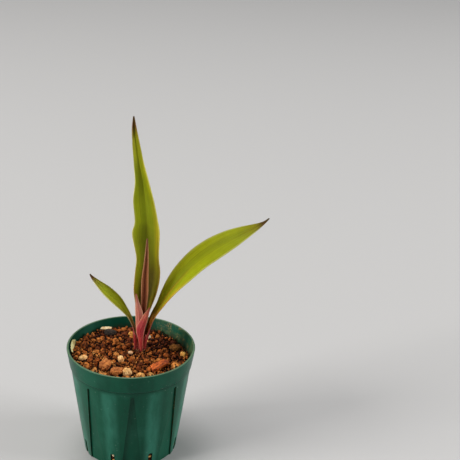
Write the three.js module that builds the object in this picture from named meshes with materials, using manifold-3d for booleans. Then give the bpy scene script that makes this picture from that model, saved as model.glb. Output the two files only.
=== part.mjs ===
// A young Pitcairnia in its small slit-sided nursery pot, in millimetres, +Z up.
// The origin is the middle of the pot's foot, on the surface that the pot stands on.
// -Y is the front: one of the pot's eight sunken panels faces it.

import * as THREE from 'three';
import { mergeVertices } from 'three/addons/utils/BufferGeometryUtils.js';
import { ConvexGeometry } from 'three/addons/geometries/ConvexGeometry.js';
import Module from 'manifold-3d';

const wasm = await Module();
wasm.setup();

// Pot, a thin moulded cup with a collar round its top
const rimRadius = 36.7;
const potHeight = 65.7;
const footRadius = 27.2;
const footBevel = 0.8;
const collarHeight = 10.8;
const shoulderRadius = 34.5;
const collarStep = 0.6;
const wall = 1.2;
const floorThickness = 1.6;
const lipBevel = 0.35;
const potSides = 56;

// Eight flat panels sunk into the wall, each an upright triangle with a blunt top
const panelCount = 8;
const panelDrop = 3;
const panelDepth = 0.9;
const panelHalfAngle = 12.4;
const panelTopHalfWidth = 0.9;

// Eight drain slits between the panels, open at the foot
const slitWidth = 2.4;
const slitHeight = 9.5;
const slitReach = 5.5;
const slitGrainHeights = [3.2, 6.4];
const slitGrainRadius = 0.95;

// Clearance between pieces that touch on the real plant, and how far cuts run past the pot's
// wall and below its foot
const gap = 0.3;
const clearOfPot = 15;
const belowFoot = 1;

// Soil: level at the middle, its fall towards +X and the grains on it
const soilLevel = 59.7;
const soilFall = 0.06;
const soilHollow = { x: 30, y: 12, radius: 9, depth: 1.4 };
const crumbCount = 380;
const crumbRadius = [1.3, 2.6];
const crumbSunk = [-0.9, 0.1];
const crumbGrid = 1.55;
const crumbGridJitter = 0.28;
const betweenCrumbs = -0.9;

// The plant's crown stands in a hole in the soil, a little right of the middle
const crown = { x: 5.3, y: 6.5, radius: 1.5, bottom: 44, top: 71 };
const leafThickness = 0.7;
const tipHalfWidth = 0.25;
const flattestChannel = 3;

const potColour = 0x1c4638;
const shoulderHeight = potHeight - collarHeight;

// A seeded random draw, the same on every run
function seededRandom(seed) {
  let state = seed;
  return () => {
    state = (state * 1664525 + 1013904223) % 4294967296;
    return state / 4294967296;
  };
}

function between(random, low, high) {
  return low + (high - low) * random();
}

// A closed mesh as a solid that can be joined and cut, and back
function solidOf(geometry) {
  const bare = geometry.clone();
  bare.deleteAttribute('normal');
  bare.deleteAttribute('uv');
  const merged = mergeVertices(bare, 1e-4);
  return new wasm.Manifold(new wasm.Mesh({
    numProp: 3,
    vertProperties: new Float32Array(merged.attributes.position.array),
    triVerts: new Uint32Array(merged.index.array),
  }));
}

function geometryOf(solid) {
  const mesh = solid.getMesh();
  const geometry = new THREE.BufferGeometry();
  geometry.setAttribute('position', new THREE.BufferAttribute(mesh.vertProperties, 3));
  geometry.setIndex(new THREE.BufferAttribute(mesh.triVerts, 1));
  geometry.computeVertexNormals();
  return geometry;
}

function joined(solids) {
  return solids.reduce((whole, solid) => whole.add(solid));
}

function cut(solid, tools) {
  return tools.length ? solid.subtract(joined(tools)) : solid;
}

// What is left after a cut, without loose scraps
function largestPiece(solid) {
  const pieces = solid.decompose();
  return pieces.reduce((best, piece) => (piece.volume() > best.volume() ? piece : best));
}

// A body of revolution about Z from [radius, height] points, bottom to top
function turned(profile, sides = potSides) {
  const points = profile.map(([radius, height]) => new THREE.Vector2(radius, height));
  return new THREE.LatheGeometry(points, sides).rotateX(Math.PI / 2);
}

function aroundPot(count, offset, makeGeometry) {
  return Array.from({ length: count }, (_, i) => {
    const angle = THREE.MathUtils.degToRad(offset + (360 / count) * i);
    return solidOf(makeGeometry().rotateZ(angle));
  });
}

function wallRadiusAt(height) {
  return footRadius + (shoulderRadius - footRadius) * (height / shoulderHeight);
}

// The wedge in front of a sunken panel, sunk by `inset` more and wider by it on each side
function panelWedge(inset) {
  const apexHeight = shoulderHeight - panelDrop + inset * 2;
  const depth = panelDepth + inset;
  const apexRadius = wallRadiusAt(shoulderHeight - panelDrop) - depth;
  const bottomRadius = footRadius - depth;
  const halfAngle = THREE.MathUtils.degToRad(panelHalfAngle);
  const halfWidth = footRadius * Math.sin(halfAngle) + inset;
  const topHalfWidth = panelTopHalfWidth + inset;
  const face = [
    new THREE.Vector3(-topHalfWidth, -apexRadius, apexHeight),
    new THREE.Vector3(topHalfWidth, -apexRadius, apexHeight),
    new THREE.Vector3(-halfWidth, -bottomRadius * Math.cos(halfAngle), -belowFoot),
    new THREE.Vector3(halfWidth, -bottomRadius * Math.cos(halfAngle), -belowFoot),
  ];
  const outward = new THREE.Vector3(0, -clearOfPot, 0);
  return new ConvexGeometry([...face, ...face.map((point) => point.clone().add(outward))]);
}

function slitBox() {
  const length = slitReach + clearOfPot;
  const box = new THREE.BoxGeometry(slitWidth, length, slitHeight + belowFoot);
  return box.translate(0, -(footRadius - slitReach + length / 2), (slitHeight - belowFoot) / 2);
}

// The space inside the pot, made smaller all round by `inset`
function potSpace(inset) {
  const profile = [
    [0, floorThickness + inset],
    [footRadius - wall - inset, floorThickness + inset],
    [shoulderRadius - wall - inset, shoulderHeight],
    [shoulderRadius + collarStep / 3 - wall - inset, shoulderHeight + 1],
    [rimRadius - wall - inset, potHeight],
    [rimRadius - wall - inset, potHeight + clearOfPot],
    [0, potHeight + clearOfPot],
  ];
  const space = solidOf(turned(profile));
  return cut(space, aroundPot(panelCount, 0, () => panelWedge(wall + inset)));
}

function makePot() {
  const body = solidOf(turned([
    [0, 0],
    [footRadius - footBevel, 0],
    [footRadius, footBevel],
    [shoulderRadius, shoulderHeight],
    [shoulderRadius + collarStep, shoulderHeight + 0.5],
    [rimRadius, potHeight - lipBevel],
    [rimRadius - lipBevel, potHeight],
    [0, potHeight],
  ]));
  const panels = aroundPot(panelCount, 0, () => panelWedge(0));
  const slits = aroundPot(panelCount, 180 / panelCount, slitBox);
  return cut(body, [potSpace(0), ...panels, ...slits]);
}

function soilHeightAt(x, y) {
  const away = Math.hypot(x - soilHollow.x, y - soilHollow.y) / soilHollow.radius;
  return soilLevel - soilFall * x - soilHollow.depth * Math.exp(-away * away);
}

// A rough lump: the corners of a simple body moved in or out, then squashed and turned at random
function roughened(random, body) {
  body.deleteAttribute('normal');
  body.deleteAttribute('uv');
  const lump = mergeVertices(body, 1e-4);
  const position = lump.attributes.position;
  for (let i = 0; i < position.count; i += 1) {
    const stretch = between(random, 0.78, 1.2);
    position.setXYZ(i, position.getX(i) * stretch, position.getY(i) * stretch, position.getZ(i) * stretch);
  }
  lump.scale(between(random, 0.8, 1.2), between(random, 0.8, 1.2), between(random, 0.7, 1));
  return lump.rotateX(between(random, 0, 3)).rotateZ(between(random, 0, 6));
}

// A crumb of soil has the few faces of a box, and a stone those of a ball
function crumb(random, radius) {
  const side = radius * 1.35;
  return roughened(random, new THREE.BoxGeometry(side, side, side));
}

function stone(random) {
  return roughened(random, new THREE.IcosahedronGeometry(1, 1));
}

// Crumbs laid out on a sunflower spiral over the soil, each a dome of its own size
function scatteredCrumbs() {
  const random = seededRandom(11);
  const goldenAngle = Math.PI * (3 - Math.sqrt(5));
  return Array.from({ length: crumbCount }, (_, i) => {
    const reach = rimRadius * Math.sqrt((i + 0.5) / crumbCount);
    const angle = i * goldenAngle + between(random, -0.03, 0.03);
    const radius = between(random, crumbRadius[0], crumbRadius[1]);
    const lift = radius * between(random, crumbSunk[0], crumbSunk[1]);
    return { x: reach * Math.cos(angle), y: reach * Math.sin(angle), radius, lift };
  });
}

function crumbHeightAt(crumbs, x, y) {
  return crumbs.reduce((highest, { x: cx, y: cy, radius, lift }) => {
    const inside = radius * radius - (x - cx) ** 2 - (y - cy) ** 2;
    return inside > 0 ? Math.max(highest, lift + Math.sqrt(inside)) : highest;
  }, betweenCrumbs);
}

// The soil as a block whose top is raised into crumbs on a jittered three-way grid
function soilBlock() {
  const random = seededRandom(23);
  const crumbs = scatteredCrumbs();
  const cells = Math.ceil((2 * rimRadius) / crumbGrid);
  const upper = [];
  const lower = [];
  for (let row = 0; row <= cells; row += 1) {
    for (let column = 0; column <= cells; column += 1) {
      const stagger = row % 2 ? 0.25 : -0.25;
      const xJitter = between(random, -crumbGridJitter, crumbGridJitter);
      const yJitter = between(random, -crumbGridJitter, crumbGridJitter);
      const x = (column + stagger + xJitter - cells / 2) * crumbGrid;
      const y = (row + yJitter - cells / 2) * crumbGrid;
      upper.push(new THREE.Vector3(x, y, soilHeightAt(x, y) + crumbHeightAt(crumbs, x, y)));
      lower.push(new THREE.Vector3(x, y, 0));
    }
  }
  return solidOf(closedSheet(upper, lower, cells, cells));
}

// A few grains that show in each slit, just inside the wall
function slitGrains() {
  const random = seededRandom(5);
  return Array.from({ length: panelCount }).flatMap((_, i) => (
    slitGrainHeights.map((height) => {
      const angle = THREE.MathUtils.degToRad((i + 0.5) * (360 / panelCount));
      const reach = wallRadiusAt(height) - wall - slitGrainRadius;
      const grain = crumb(random, slitGrainRadius * between(random, 1, 1.25));
      return solidOf(grain.translate(0, -reach, height).rotateZ(angle));
    })
  ));
}

function makeSoil(rooms) {
  const filled = joined([soilBlock(), ...slitGrains()]).intersect(potSpace(gap));
  return largestPiece(cut(filled, rooms));
}

// One smooth curve through a value for each row of a leaf
function smoothRun(values) {
  return new THREE.CatmullRomCurve3(values, false, 'catmullrom', 0.5);
}

function levelDirection(degrees) {
  const angle = THREE.MathUtils.degToRad(degrees);
  return new THREE.Vector3(Math.cos(angle), Math.sin(angle), 0);
}

// The middle line, half widths, channel and twist of a leaf, from its rows of
// [out, up, left half width, right half width, half angle of the channel, twist].
// Out is along the leaf's heading, a leaf with a lean falls away from it as it rises,
// and angles are in degrees.
function leafRuns({ heading, foot, lean = 0, rows }) {
  const outward = levelDirection(heading);
  const backward = levelDirection(heading + 90);
  const firstHeight = rows[0][1];
  const middles = rows.map(([out, height]) => (
    new THREE.Vector3(crown.x, crown.y + foot, height)
      .addScaledVector(outward, out)
      .addScaledVector(backward, lean * (height - firstHeight))
  ));
  const widths = rows.map(([, , left, right]) => new THREE.Vector3(left, right, 0));
  const angles = rows.map(([, , , , channel, twist = 0]) => new THREE.Vector3(channel, twist, 0));
  return { path: smoothRun(middles), widths: smoothRun(widths), angles: smoothRun(angles) };
}

// Where a leaf's section lies at `t` along it: its middle, and the directions across and out of its face
function leafSection(leaf, runs, t) {
  const along = runs.path.getTangent(t);
  const sideways = levelDirection(leaf.rightMargin);
  const flat = sideways.addScaledVector(along, -sideways.dot(along)).normalize();
  const face = flat.clone().cross(along);
  const twist = THREE.MathUtils.degToRad(runs.angles.getPoint(t).y);
  const across = flat.multiplyScalar(Math.cos(twist)).addScaledVector(face, -Math.sin(twist));
  return { middle: runs.path.getPoint(t), along, across, normal: across.clone().cross(along) };
}

// A leaf blade, closed all round: each section is a round channel, bent up towards its face.
// `grow` makes it larger on every side.
function bladeGeometry(leaf, grow) {
  const { rows, wave = { height: 0, turns: 0 }, strips = 6 } = leaf;
  const stations = leaf.stations ?? (rows.length - 1) * 2;
  const halfThickness = leafThickness / 2 + grow;
  const runs = leafRuns(leaf);
  const upper = [];
  const lower = [];
  for (let i = 0; i <= stations; i += 1) {
    const t = i / stations;
    const { middle, along, across, normal } = leafSection(leaf, runs, t);
    if (i === 0) middle.addScaledVector(along, -grow);
    if (i === stations) middle.addScaledVector(along, grow);
    const { x: left, y: right } = runs.widths.getPoint(t);
    const halfAngle = THREE.MathUtils.degToRad(Math.max(runs.angles.getPoint(t).x, flattestChannel));
    const lift = wave.height * Math.sin(wave.turns * 2 * Math.PI * t);
    for (let j = 0; j <= strips; j += 1) {
      const side = (2 * j) / strips - 1;
      const radius = (Math.max(side < 0 ? left : right, tipHalfWidth) + grow) / halfAngle;
      const turn = halfAngle * side;
      const point = middle.clone()
        .addScaledVector(across, radius * Math.sin(turn))
        .addScaledVector(normal, radius * (1 - Math.cos(turn)) + side * side * lift);
      const inward = normal.clone().multiplyScalar(Math.cos(turn)).addScaledVector(across, -Math.sin(turn));
      upper.push(point.clone().addScaledVector(inward, halfThickness));
      lower.push(point.clone().addScaledVector(inward, -halfThickness));
    }
  }
  return closedSheet(upper, lower, stations, strips);
}

// Two matching grids of points, joined round their edges
function closedSheet(upper, lower, rows, columns) {
  const positions = [...upper, ...lower].flatMap((point) => point.toArray());
  const width = columns + 1;
  const shift = upper.length;
  const index = [];
  const quad = (a, b, c, d) => index.push(a, b, c, a, c, d);
  for (let i = 0; i < rows; i += 1) {
    for (let j = 0; j < columns; j += 1) {
      const a = i * width + j;
      quad(a, a + 1, a + 1 + width, a + width);
      quad(shift + a + width, shift + a + 1 + width, shift + a + 1, shift + a);
    }
    const start = i * width;
    const end = start + columns;
    quad(start + width, shift + start + width, shift + start, start);
    quad(end, shift + end, shift + end + width, end + width);
  }
  for (let j = 0; j < columns; j += 1) {
    const last = rows * width + j;
    quad(j + 1, j, shift + j, shift + j + 1);
    quad(last, last + 1, shift + last + 1, shift + last);
  }
  const geometry = new THREE.BufferGeometry();
  geometry.setAttribute('position', new THREE.Float32BufferAttribute(positions, 3));
  geometry.setIndex(index);
  return geometry;
}

// The tall leaf rises behind the others, channelled, with a waved left margin
const tallLeaf = {
  heading: -7.5,
  rightMargin: -7.5,
  foot: 2.6,
  lean: 0.087,
  stations: 34,
  strips: 6,
  wave: { height: 0.7, turns: 4.5 },
  rows: [
    [-0.4, 60.8, 3.1, 3.1, 95],
    [-0.1, 70.0, 3.7, 3.7, 88],
    [0.5, 77.5, 4.2, 4.2, 75],
    [1.5, 84.0, 4.8, 4.8, 60],
    [2.5, 95.0, 7.1, 7.3, 45],
    [3.4, 105.8, 7.5, 8.0, 40],
    [3.5, 115.6, 7.0, 6.7, 38],
    [2.9, 129.6, 8.8, 7.4, 33],
    [2.2, 136.8, 6.9, 6.7, 31],
    [0.9, 148.6, 6.7, 5.3, 30],
    [-0.6, 159.6, 4.2, 3.7, 28],
    [-2.8, 170.0, 3.0, 2.8, 26],
    [-4.4, 180.0, 2.3, 2.1, 24],
    [-5.5, 188.0, 1.3, 1.3, 20],
    [-6.1, 195.4, 0.3, 0.3, 12],
  ],
};

// The spear, the young middle leaf, still folded lengthwise
const spearLeaf = {
  heading: 0,
  rightMargin: 0,
  foot: -0.4,
  lean: 0.05,
  strips: 4,
  rows: [
    [0.6, 73.0, 1.0, 1.0, 95],
    [1.3, 80.0, 1.5, 1.5, 85],
    [1.8, 88.0, 2.2, 2.2, 75],
    [2.2, 96.0, 2.5, 2.5, 70],
    [2.3, 104.0, 2.3, 2.3, 66],
    [2.9, 114.0, 1.5, 1.5, 60],
    [3.2, 122.0, 0.8, 0.8, 45],
    [3.3, 128.3, 0.3, 0.3, 20],
  ],
};

// The right leaf leaves on a narrow stalk, then widens and arches outwards
const rightLeaf = {
  heading: 12,
  rightMargin: -78,
  foot: 0,
  stations: 26,
  rows: [
    [2.6, 60.8, 1.6, 1.6, 85, 0],
    [4.1, 65.8, 2.6, 2.6, 85, 4],
    [5.2, 71.2, 2.5, 2.5, 74, 8],
    [7.2, 77.6, 2.7, 2.7, 60, 14],
    [9.5, 82.4, 2.9, 2.9, 48, 18],
    [11.8, 86.3, 3.2, 3.4, 40, 20],
    [15.7, 92.6, 4.9, 5.0, 34, 20],
    [20.2, 98.5, 6.8, 6.4, 30, 20],
    [26.0, 104.9, 8.2, 8.1, 28, 20],
    [34.0, 112.4, 8.8, 9.1, 27, 20],
    [42.7, 118.4, 8.5, 9.6, 26, 20],
    [52.0, 123.5, 7.1, 8.5, 25, 20],
    [60.1, 127.2, 5.0, 6.0, 23, 20],
    [67.8, 130.3, 2.6, 2.8, 20, 20],
    [72.5, 132.8, 0.9, 1.1, 15, 20],
    [75.6, 135.2, 0.3, 0.3, 10, 20],
  ],
};

// The left leaf is short, on a thin stalk
const leftLeaf = {
  heading: 165,
  rightMargin: 75,
  foot: 0,
  stations: 18,
  strips: 4,
  rows: [
    [3.3, 60.6, 1.3, 1.3, 80, 0],
    [3.6, 66.0, 1.5, 1.5, 75, 0],
    [3.9, 71.6, 1.5, 1.5, 68, -6],
    [5.1, 75.5, 1.6, 1.6, 58, -12],
    [6.9, 79.7, 1.9, 2.0, 48, -18],
    [10.0, 84.0, 2.8, 2.8, 38, -20],
    [14.2, 88.7, 4.0, 4.0, 32, -20],
    [20.0, 94.0, 3.9, 3.9, 28, -20],
    [25.2, 98.9, 2.3, 2.3, 22, -20],
    [28.2, 102.1, 1.1, 1.0, 15, -20],
    [29.8, 104.2, 0.3, 0.3, 10, -20],
  ],
};

// Two short bladeless leaves clasp the crown, with their backs to the front
const leftSheath = {
  heading: 0,
  rightMargin: 180,
  foot: -2.4,
  lean: 0.02,
  rows: [
    [-0.1, 60.4, 1.1, 1.1, 75],
    [-0.3, 64.5, 1.4, 1.4, 72],
    [-0.7, 69.2, 1.8, 1.8, 68],
    [-0.8, 74.0, 2.0, 2.0, 62],
    [-0.8, 78.5, 2.2, 2.2, 57],
    [-0.8, 82.6, 2.3, 2.3, 50],
    [-1.4, 86.6, 1.8, 1.8, 41],
    [-2.1, 91.2, 1.0, 1.0, 30],
    [-2.7, 96.0, 0.3, 0.3, 14],
  ],
};

const frontSheath = {
  heading: 0,
  rightMargin: 180,
  foot: -3.9,
  lean: -0.02,
  rows: [
    [0.6, 60.2, 0.6, 0.6, 68],
    [0.4, 64.4, 1.0, 1.0, 64],
    [0.1, 68.0, 1.6, 1.6, 61],
    [-0.1, 71.4, 2.3, 2.3, 58],
    [0.0, 74.8, 2.8, 2.8, 54],
    [0.9, 77.6, 2.5, 2.5, 49],
    [2.0, 80.6, 2.0, 2.0, 43],
    [3.1, 83.8, 1.5, 1.5, 36],
    [4.2, 86.6, 0.7, 0.7, 25],
    [4.9, 88.6, 0.3, 0.3, 13],
  ],
};

// Small dry scale leaves round the foot of the crown: heading and place of each
const scaleLeaves = [
  { name: 'scale_left', heading: 0, rightMargin: 155, foot: -2.2, aside: -2.8, top: 71, half: 1.4 },
  { name: 'scale_right', heading: 0, rightMargin: 205, foot: -2.2, aside: 2.6, top: 70, half: 1.3 },
  { name: 'scale_back', heading: 0, rightMargin: 0, foot: 4.1, aside: -0.6, top: 70.5, half: 1.4 },
];

function scaleLeaf({ heading, rightMargin, foot, aside, top, half }) {
  const bottom = 60.4;
  const middle = (bottom + top) / 2;
  return {
    heading,
    rightMargin,
    foot,
    strips: 4,
    rows: [
      [aside, bottom, half * 0.7, half * 0.7, 65],
      [aside * 1.06, middle, half, half, 58],
      [aside * 1.12, top - 2.4, half * 0.7, half * 0.7, 40],
      [aside * 1.2, top, 0.3, 0.3, 15],
    ],
  };
}

// The crown, the short stem that all the leaves stand on
function crownGeometry(grow) {
  const { x, y, radius, bottom, top } = crown;
  return turned([
    [0, bottom - grow],
    [radius * 0.5 + grow, bottom - grow],
    [radius * 0.85 + grow, bottom + 3],
    [radius + grow, soilLevel - 2],
    [radius * 0.95 + grow, soilLevel + 4],
    [radius * 0.6 + grow, top - 2.5],
    [radius * 0.3 + grow, top + grow],
    [0, top + grow],
  ], 16).translate(x, y, 0);
}

// Larger stones that stand out in the mix: place, size and colour of each
const stones = [
  { name: 'pumice_front', x: -2.8, y: -21.9, size: [2.9, 2.6, 2.5], colour: 0xe8bd80, seed: 3 },
  { name: 'pumice_middle', x: -6.0, y: -7.2, size: [2.0, 1.9, 1.9], colour: 0xe3b674, seed: 8 },
  { name: 'pumice_left', x: -27.3, y: -7.6, size: [2.5, 1.9, 1.9], colour: 0xe6b97c, seed: 12 },
  { name: 'pumice_crown', x: -0.4, y: 1.0, size: [1.4, 1.2, 1.1], colour: 0xf0e2cc, seed: 21 },
  { name: 'pumice_right', x: 30.1, y: 1.3, size: [1.9, 1.7, 1.7], colour: 0xc99a45, seed: 30 },
  { name: 'ochre_stone', x: 0.6, y: 23.4, size: [1.8, 1.6, 1.5], colour: 0xcf8438, seed: 35 },
  { name: 'dark_stone', x: -12.2, y: 23.8, size: [3.2, 2.4, 1.9], colour: 0x33261a, seed: 41 },
  { name: 'clay_lump_left', x: -14.8, y: -15.3, size: [2.7, 4, 3], colour: 0xa9662f, seed: 47 },
  { name: 'clay_lump_front', x: -8.8, y: -21.5, size: [3.3, 2.7, 2.4], colour: 0xa86430, seed: 52 },
  { name: 'clay_lump_right', x: 25.9, y: 9.5, size: [4.2, 3.2, 2.5], colour: 0x5c3413, seed: 58 },
];

function stoneGeometry({ x, y, size, seed }, grow) {
  const lift = size[2] * 0.45;
  return stone(seededRandom(seed))
    .scale(size[0] + grow, size[1] + grow, size[2] + grow)
    .translate(x, y, soilHeightAt(x, y) + lift);
}

// A split of bark and two thin pale flakes, each an outline with a thickness. The first two
// lie on the soil, and the husk curls round the inside of the wall at the left.
const bark = {
  outline: [
    [-6.5, -1.4], [-4.4, -2.5], [0.9, -2], [5.4, -2.5], [6.7, -0.4], [4.8, 1.9], [-0.9, 2.3], [-5.4, 1.7],
  ],
  thickness: 2.4,
  x: 15.4,
  y: -13.6,
  tilt: 12.6,
  turn: 43,
};
const paleFlake = {
  outline: [[-3.5, -0.5], [-1, -1.2], [2.7, -1], [3.7, 0.2], [1.6, 1.2], [-2.4, 1]],
  thickness: 0.8,
  x: -14.4,
  y: 27.9,
  tilt: 12,
  turn: 7,
};
const husk = {
  outline: [
    [-6, -0.3], [-4, -1.7], [-1.6, -2.1], [1.2, -2.2], [3.9, -1.6], [6.1, 0.2],
    [4.2, 1.5], [1.8, 2.1], [-1.1, 2], [-3.9, 1.4],
  ],
  thickness: 0.8,
  azimuth: 171,
  reach: 34,
  height: 62.9,
  lean: 14,
  slope: -10,
};
const flakeLift = 1.3;

function slab({ outline, thickness }, grow) {
  const outlineShape = new THREE.Shape(outline.map(([x, y]) => {
    const point = new THREE.Vector2(x, y);
    return point.addScaledVector(point.clone().normalize(), grow);
  }));
  const depth = thickness + 2 * grow;
  const geometry = new THREE.ExtrudeGeometry(outlineShape, { depth, bevelEnabled: false });
  return geometry.translate(0, 0, -depth / 2);
}

function lyingFlake(flake, grow) {
  const { x, y, tilt, turn } = flake;
  return slab(flake, grow)
    .rotateX(THREE.MathUtils.degToRad(tilt))
    .rotateZ(THREE.MathUtils.degToRad(turn))
    .translate(x, y, soilHeightAt(x, y) + flakeLift);
}

// The husk is bent round the wall, with its lower edge further in
function leaningHusk(grow) {
  const geometry = slab(husk, grow).rotateZ(THREE.MathUtils.degToRad(husk.slope));
  const lean = THREE.MathUtils.degToRad(husk.lean);
  const position = geometry.attributes.position;
  for (let i = 0; i < position.count; i += 1) {
    const angle = THREE.MathUtils.degToRad(husk.azimuth) + position.getX(i) / husk.reach;
    const rise = position.getY(i);
    const out = position.getZ(i);
    const reach = husk.reach + rise * Math.sin(lean) + out * Math.cos(lean);
    const height = husk.height + rise * Math.cos(lean) - out * Math.sin(lean);
    position.setXYZ(i, reach * Math.cos(angle), reach * Math.sin(angle), height);
  }
  return geometry;
}

// Every node is cut clear of the ones before it, so that nothing overlaps
const plant = new THREE.Group();
const rooms = [];

function addNode(name, geometry, { color, roughness = 0.6 }) {
  const material = new THREE.MeshStandardMaterial({ color, roughness, metalness: 0 });
  const mesh = new THREE.Mesh(geometry, material);
  mesh.name = name;
  plant.add(mesh);
}

function addClear(name, makeGeometry, look) {
  const own = largestPiece(cut(solidOf(makeGeometry(0)), rooms));
  addNode(name, geometryOf(own), look);
  rooms.push(solidOf(makeGeometry(gap)));
}

addNode('pot', geometryOf(makePot()), { color: potColour, roughness: 0.45 });

addClear('crown', crownGeometry, { color: 0x5a1216 });
addClear('spear', (grow) => bladeGeometry(spearLeaf, grow), { color: 0x8a4a2a });
addClear('leaf_tall', (grow) => bladeGeometry(tallLeaf, grow), { color: 0x6e7306 });
addClear('sheath_left', (grow) => bladeGeometry(leftSheath, grow), { color: 0xa8544a });
addClear('sheath_front', (grow) => bladeGeometry(frontSheath, grow), { color: 0x9c4450 });
addClear('leaf_right', (grow) => bladeGeometry(rightLeaf, grow), { color: 0x74780a });
addClear('leaf_left', (grow) => bladeGeometry(leftLeaf, grow), { color: 0x6d7512 });
scaleLeaves.forEach((scale) => {
  addClear(scale.name, (grow) => bladeGeometry(scaleLeaf(scale), grow), { color: 0x76161c });
});

stones.forEach((stone) => {
  addClear(stone.name, (grow) => stoneGeometry(stone, grow), { color: stone.colour, roughness: 0.95 });
});
addClear('bark_chip', (grow) => lyingFlake(bark, grow), { color: 0xa04a22, roughness: 0.9 });
addClear('pale_flake', (grow) => lyingFlake(paleFlake, grow), { color: 0xd8b274, roughness: 0.9 });
addClear('husk_flake', leaningHusk, { color: 0xc9bd7c, roughness: 0.8 });

addNode('soil', geometryOf(makeSoil(rooms)), { color: 0x8a5426, roughness: 1 });

export default plant;
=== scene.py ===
import math
import random

import bpy
import numpy as np
from mathutils import Matrix, Vector, noise


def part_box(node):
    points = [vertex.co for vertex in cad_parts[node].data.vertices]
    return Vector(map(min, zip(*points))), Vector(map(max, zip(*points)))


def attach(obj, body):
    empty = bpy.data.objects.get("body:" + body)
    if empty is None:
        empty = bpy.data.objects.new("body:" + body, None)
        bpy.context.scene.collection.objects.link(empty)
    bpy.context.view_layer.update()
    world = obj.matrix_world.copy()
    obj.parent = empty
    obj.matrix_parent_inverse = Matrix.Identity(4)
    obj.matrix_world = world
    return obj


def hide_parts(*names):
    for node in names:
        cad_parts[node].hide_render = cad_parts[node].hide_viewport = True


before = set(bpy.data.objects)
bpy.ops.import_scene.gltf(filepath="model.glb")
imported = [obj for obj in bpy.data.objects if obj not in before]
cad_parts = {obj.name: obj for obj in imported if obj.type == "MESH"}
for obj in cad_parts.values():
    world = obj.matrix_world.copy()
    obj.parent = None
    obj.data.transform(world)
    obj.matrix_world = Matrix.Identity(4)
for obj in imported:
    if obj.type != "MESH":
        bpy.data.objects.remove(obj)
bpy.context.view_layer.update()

# The view. The pot stands on a plain pale floor, seen from above its rim, in the soft light
# of a wide panel on the left, a weaker one on the right, one overhead and a pale room.
MM = 0.001
SENSOR = 36
FOCAL_PIXELS = 1000
PHOTO_PIXELS = 460
CAMERA_PLACE = Vector((-12.91, -506.74, 348.96)) * MM
CAMERA_HEADING = -7.5
CAMERA_DIP = 22.5
CAMERA_ROLL = 2.83


def in_scene(name, data):
    thing = bpy.data.objects.new(name, data)
    bpy.context.scene.collection.objects.link(thing)
    return thing


def area_light(name, place, aim, width, power, colour=(1, 1, 1)):
    light = bpy.data.lights.new(name, "AREA")
    light.size = width
    light.energy = power
    light.color = colour
    lamp = in_scene(name, light)
    lamp.location = place
    lamp.rotation_euler = (Vector(aim) - Vector(place)).to_track_quat("-Z", "Y").to_euler()


camera = in_scene("camera", bpy.data.cameras.new("camera"))
camera.data.sensor_width = SENSOR
camera.data.lens = SENSOR * FOCAL_PIXELS / PHOTO_PIXELS
camera.data.clip_start = 10 * MM
camera.matrix_world = (
    Matrix.Translation(CAMERA_PLACE)
    @ Matrix.Rotation(math.radians(CAMERA_HEADING), 4, "Z")
    @ Matrix.Rotation(math.radians(90 - CAMERA_DIP), 4, "X")
    @ Matrix.Rotation(math.radians(CAMERA_ROLL), 4, "Z")
)
bpy.context.scene.camera = camera

leaf_middle = (0, 0.1, 0.08)
area_light("window", (-2.7, -0.7, 0.95), leaf_middle, 1.3, 92, (1, 0.99, 0.97))
area_light("room_side", (2.7, -0.4, 0.9), leaf_middle, 1.3, 66, (0.98, 0.99, 1))
area_light("ceiling", (-0.4, 0.5, 3.2), leaf_middle, 1.6, 50)

world = bpy.data.worlds.new("pale_room")
world.use_nodes = True
room = world.node_tree.nodes["Background"]
room.inputs["Color"].default_value = (0.9, 0.92, 0.95, 1)
room.inputs["Strength"].default_value = 0.16
bpy.context.scene.view_settings.view_transform = "Standard"
bpy.context.scene.world = world

bpy.ops.mesh.primitive_plane_add(size=16)
floor = bpy.context.object
floor.name = "floor"
floor_paint = bpy.data.materials.new("floor_paint")
floor_paint.use_nodes = True
floor_shader = floor_paint.node_tree.nodes["Principled BSDF"]
floor_shader.inputs["Base Color"].default_value = (0.56, 0.55, 0.54, 1)
floor_shader.inputs["Roughness"].default_value = 0.8
floor.data.materials.append(floor_paint)

# The pot. A thin green nursery pot, moulded in one piece: a tapered wall with eight sunken
# triangular panels, a collar round its top, a flat foot and eight drain slits between panels.
RIM_RADIUS = 36.7 * MM
POT_HEIGHT = 65.7 * MM
FOOT_RADIUS = 27.2 * MM
SHOULDER_RADIUS = 34.5 * MM
SHOULDER_HEIGHT = 54.9 * MM
COLLAR_STEP = 0.6 * MM
WALL = 1.2 * MM
FLOOR_THICKNESS = 1.6 * MM
PANEL_COUNT = 8
PANEL_DROP = 3 * MM
PANEL_DEPTH = 0.9 * MM
PANEL_HALF_ANGLE = math.radians(12.4)
PANEL_TOP_HALF_WIDTH = 0.9 * MM
SLIT_WIDTH = 2.4 * MM
SLIT_HEIGHT = 9.5 * MM
SLIT_REACH = 5.5 * MM
SLIT_ROUNDING = 0.5 * MM
CUT_PAST = 8 * MM
POT_SIDES = 144
SOIL_LEVEL = 59.7 * MM


def nothing_selected():
    if bpy.context.object and bpy.context.object.mode != "OBJECT":
        bpy.ops.object.mode_set(mode="OBJECT")
    bpy.ops.object.select_all(action="DESELECT")


def made(name):
    """Names the object that was just added."""
    piece = bpy.context.object
    piece.name = piece.data.name = name
    return piece


def pick_up(piece):
    nothing_selected()
    piece.select_set(True)
    bpy.context.view_layer.objects.active = piece


def apply_place(piece):
    pick_up(piece)
    bpy.ops.object.transform_apply(location=True, rotation=True, scale=True)


def finish_with(piece, kind, **settings):
    """Adds one modifier to the piece and applies it."""
    pick_up(piece)
    modifier = piece.modifiers.new(kind.lower(), kind)
    for setting, value in settings.items():
        setattr(modifier, setting, value)
    bpy.ops.object.modifier_apply(modifier=modifier.name)


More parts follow.
